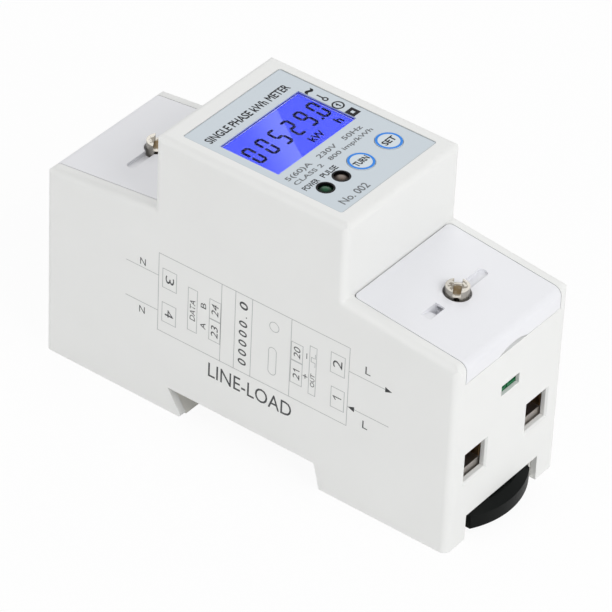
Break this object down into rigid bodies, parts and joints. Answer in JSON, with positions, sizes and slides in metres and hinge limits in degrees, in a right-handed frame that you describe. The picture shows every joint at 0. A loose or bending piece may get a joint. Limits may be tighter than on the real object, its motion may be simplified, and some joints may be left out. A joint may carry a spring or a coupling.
{
  "type": "din rail energy meter",
  "caption": "Slim white electricity meter for a mounting rail, with a raised front, a backlit display, two keys, lamps and sealed terminal covers.",
  "frame": {"origin": "on the rail seat, on the centre line of the mounting rail and on the meter's middle plane", "axes": "+X along the meter to the line end, where the clip's head is; +Y across it, away from the printed side; +Z out of the front with the display"},
  "size_m": [0.1025, 0.036, 0.065],
  "materials": {
    "case_white": "moulded plastic with a fine satin grain",
    "base_white": "moulded plastic, slightly duller than the case",
    "cover_white": "moulded plastic with a fine satin grain, slightly cooler than the case",
    "nickel": "nickel plated, worn slightly brown in the slot",
    "clip_black": "moulded black plastic, half gloss",
    "spring_steel": "drawn spring wire",
    "film_silver": "printed polyester film with a silver ground",
    "clear_pane": "clear polished plastic",
    "lcd_blue": "blue back-lit liquid crystal glass",
    "tray_white": "white light guide tray",
    "board_green": "green solder mask",
    "chip_black": "moulded epoxy",
    "chip_white": "moulded epoxy, off-white",
    "lamp_green": "green tinted lens, unlit",
    "lamp_smoke": "smoke tinted lens, unlit",
    "key_pale": "smooth key cap with a blue printed ring",
    "plunger_tan": "moulded switch plunger",
    "zinc": "zinc plated steel",
    "brass": "machined brass, slightly dark",
    "copper": "rolled copper strip",
    "resistance_alloy": "resistance alloy strip",
    "terminal_green": "moulded green plastic",
    "capacitor_yellow": "moulded box",
    "capacitor_sleeve": "shrunk sleeve",
    "varistor_blue": "epoxy coated ceramic disc",
    "resistor_body": "cement coated wire-wound body",
    "socket_cream": "moulded socket",
    "ribbon_grey": "flat flexible lead"
  },
  "bodies": {
    "meter": {"outer_case": "case_white", "base": "base_white", "line_cover": "cover_white", "neutral_cover": "cover_white", "seal_screws": "nickel", "clip_spring": "spring_steel", "face_film": "film_silver", "window_pane": "clear_pane", "lcd_glass": "lcd_blue", "lcd_frame": "tray_white", "display_board": "board_green", "display_screws": "zinc", "power_led": "lamp_green", "pulse_led": "lamp_smoke", "led_collars": "clip_black", "key_switches": "chip_black", "main_board": "board_green", "board_screws": "zinc", "line_in_terminal": "brass", "line_out_terminal": "brass", "neutral_in_terminal": "brass", "neutral_out_terminal": "brass", "terminal_screws": "zinc", "shunt_arms": "copper", "shunt_element": "resistance_alloy", "neutral_link": "copper", "pulse_terminal": "terminal_green", "data_terminal": "terminal_green", "signal_screws": "zinc", "film_capacitor": "capacitor_yellow", "bulk_capacitor": "capacitor_sleeve", "varistor": "varistor_blue", "fuse_resistor": "resistor_body", "metering_chip": "chip_black", "control_chip": "chip_black", "optocouplers": "chip_white", "crystal": "zinc", "ribbon_sockets": "socket_cream", "ribbon_lead": "ribbon_grey"},
    "clip": {"din_clip": "clip_black"},
    "set_button": {"set_key": "key_pale", "set_plunger": "plunger_tan"},
    "turn_button": {"turn_key": "key_pale", "turn_plunger": "plunger_tan"}
  },
  "joints": [
    {"name": "clip_slide", "type": "slide", "parent": "meter", "child": "clip", "axis": [1, 0, 0], "range_m": [0, 0.004], "stiffness_N_per_m": 2000, "springref_m": -0.002, "deforming": ["clip_spring"]},
    {"name": "set_press", "type": "slide", "parent": "meter", "child": "set_button", "axis": [0, 0, -1], "range_m": [0, 0.0003], "stiffness_N_per_m": 1500},
    {"name": "turn_press", "type": "slide", "parent": "meter", "child": "turn_button", "axis": [0, 0, -1], "range_m": [0, 0.0003], "stiffness_N_per_m": 1500}
  ]
}
